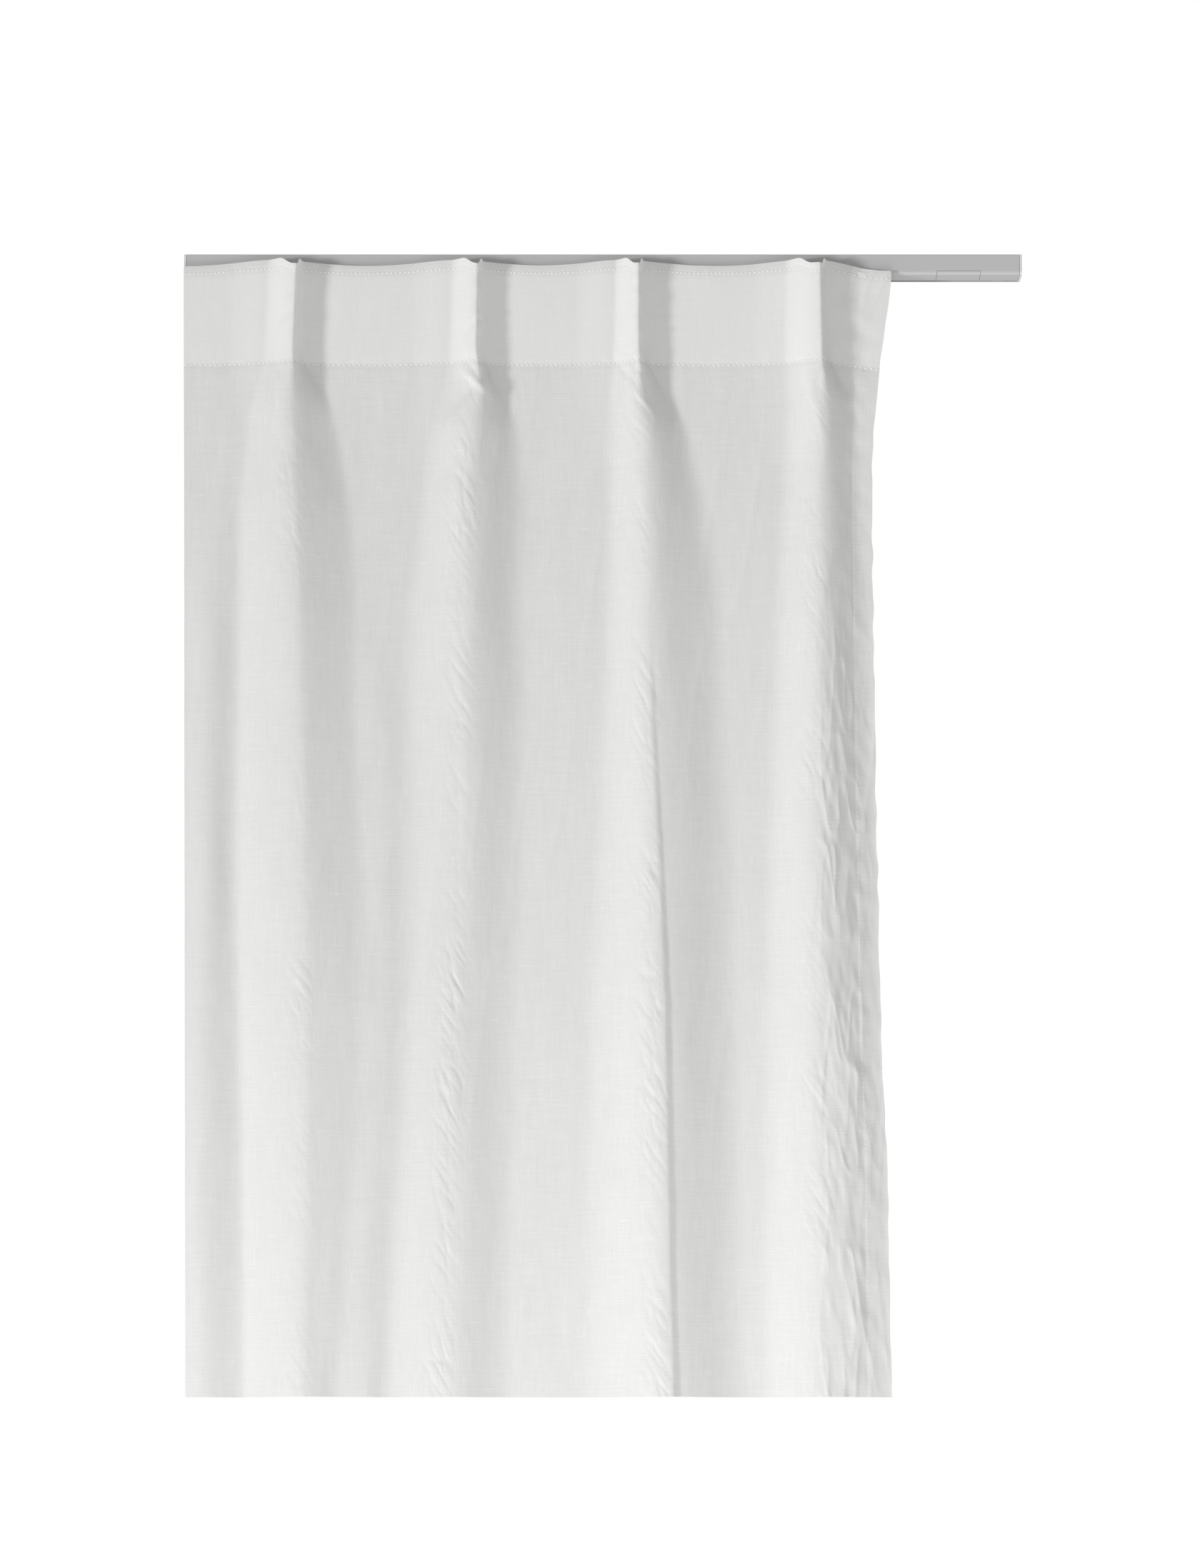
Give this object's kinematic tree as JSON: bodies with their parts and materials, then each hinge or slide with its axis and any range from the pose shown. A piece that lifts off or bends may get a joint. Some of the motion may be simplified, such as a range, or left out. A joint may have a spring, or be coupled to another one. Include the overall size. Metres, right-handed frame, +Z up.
{
  "type": "curtain panel on rail",
  "caption": "Pleated off-white linen curtain panel hung by hooks and gliders from a slim ceiling rail, fixed at one edge and drawn along the rail from the other.",
  "frame": {"origin": "centre of the rail's top face, which goes against the ceiling", "axes": "+Z up, +X along the rail to the right as seen from the room, -Y towards the room"},
  "size_m": [0.728, 0.0618, 0.987],
  "materials": {
    "rail_paint": "fine satin paint on extruded aluminium",
    "white_plastic": "satin moulded plastic",
    "plated_steel": "bright zinc plated wire",
    "linen": "plain-weave washed linen with slubs",
    "heading_tape": "woven polyester heading tape"
  },
  "bodies": {
    "rail": {"rail": "rail_paint", "end_cap_left": "white_plastic", "end_cap_right": "white_plastic", "end_stop_left": "white_plastic", "end_stop_right": "white_plastic", "stop_screw_left": "plated_steel", "stop_screw_right": "plated_steel", "glider_1": "white_plastic"},
    "gate": {"loading_gate": "rail_paint"},
    "fixed_edge": {"hook_end_left": "plated_steel", "side_hem_left": "linen", "cloth_end_left": "linen", "tape_end_left": "heading_tape"},
    "pleat_1": {"hook_pleat_1": "plated_steel", "cloth_pleat_1": "linen", "cloth_span_1": "linen", "tape_span_1": "heading_tape"},
    "pleat_2": {"hook_pleat_2": "plated_steel", "cloth_pleat_2": "linen", "cloth_span_2": "linen", "tape_span_2": "heading_tape"},
    "pleat_3": {"hook_pleat_3": "plated_steel", "cloth_pleat_3": "linen", "cloth_span_3": "linen", "tape_span_3": "heading_tape"},
    "leading_edge": {"hook_pleat_4": "plated_steel", "cloth_pleat_4": "linen", "cloth_end_right": "linen", "side_hem_right": "linen", "hook_end_right": "plated_steel", "tape_end_right": "heading_tape"},
    "carrier_2": {"glider_2": "white_plastic"},
    "carrier_3": {"glider_3": "white_plastic"},
    "carrier_4": {"glider_4": "white_plastic"},
    "carrier_5": {"glider_5": "white_plastic"},
    "carrier_6": {"glider_6": "white_plastic"}
  },
  "joints": [
    {"name": "swing", "type": "hinge", "parent": "rail", "child": "fixed_edge", "pos_m": [0, -0.01, -0.03], "axis": [1, 0, 0], "range_deg": [-3, 8]},
    {"name": "gather_1", "type": "slide", "parent": "fixed_edge", "child": "pleat_1", "axis": [1, 0, 0], "range_m": [-0.03, 0.003], "deforming": ["cloth_end_left", "tape_end_left"]},
    {"name": "gather_2", "type": "slide", "parent": "pleat_1", "child": "pleat_2", "axis": [1, 0, 0], "range_m": [-0.06, 0.006], "deforming": ["cloth_span_1", "tape_span_1"]},
    {"name": "gather_3", "type": "slide", "parent": "pleat_2", "child": "pleat_3", "axis": [1, 0, 0], "range_m": [-0.06, 0.006], "deforming": ["cloth_span_2", "tape_span_2"]},
    {"name": "gather_4", "type": "slide", "parent": "pleat_3", "child": "leading_edge", "axis": [1, 0, 0], "range_m": [-0.06, 0.006], "deforming": ["cloth_span_3", "tape_span_3"]},
    {"name": "glider_2_run", "type": "slide", "parent": "rail", "child": "carrier_2", "axis": [1, 0, 0], "range_m": [-0.03, 0.003]},
    {"name": "glider_3_run", "type": "slide", "parent": "rail", "child": "carrier_3", "axis": [1, 0, 0], "range_m": [-0.09, 0.009]},
    {"name": "glider_4_run", "type": "slide", "parent": "rail", "child": "carrier_4", "axis": [1, 0, 0], "range_m": [-0.15, 0.015]},
    {"name": "glider_5_run", "type": "slide", "parent": "rail", "child": "carrier_5", "axis": [1, 0, 0], "range_m": [-0.21, 0.021]},
    {"name": "glider_6_run", "type": "slide", "parent": "rail", "child": "carrier_6", "axis": [1, 0, 0], "range_m": [-0.21, 0.021]},
    {"name": "gate_drop", "type": "slide", "parent": "rail", "child": "gate", "axis": [0, 0, -1], "range_m": [0, 0.01]}
  ],
  "couplings": [
    {"joint": "gather_1", "follows": "gather_2", "ratio": 0.5},
    {"joint": "gather_3", "follows": "gather_2", "ratio": 1},
    {"joint": "gather_4", "follows": "gather_2", "ratio": 1},
    {"joint": "glider_2_run", "follows": "gather_2", "ratio": 0.5},
    {"joint": "glider_3_run", "follows": "gather_2", "ratio": 1.5},
    {"joint": "glider_4_run", "follows": "gather_2", "ratio": 2.5},
    {"joint": "glider_5_run", "follows": "gather_2", "ratio": 3.5},
    {"joint": "glider_6_run", "follows": "gather_2", "ratio": 3.5}
  ]
}
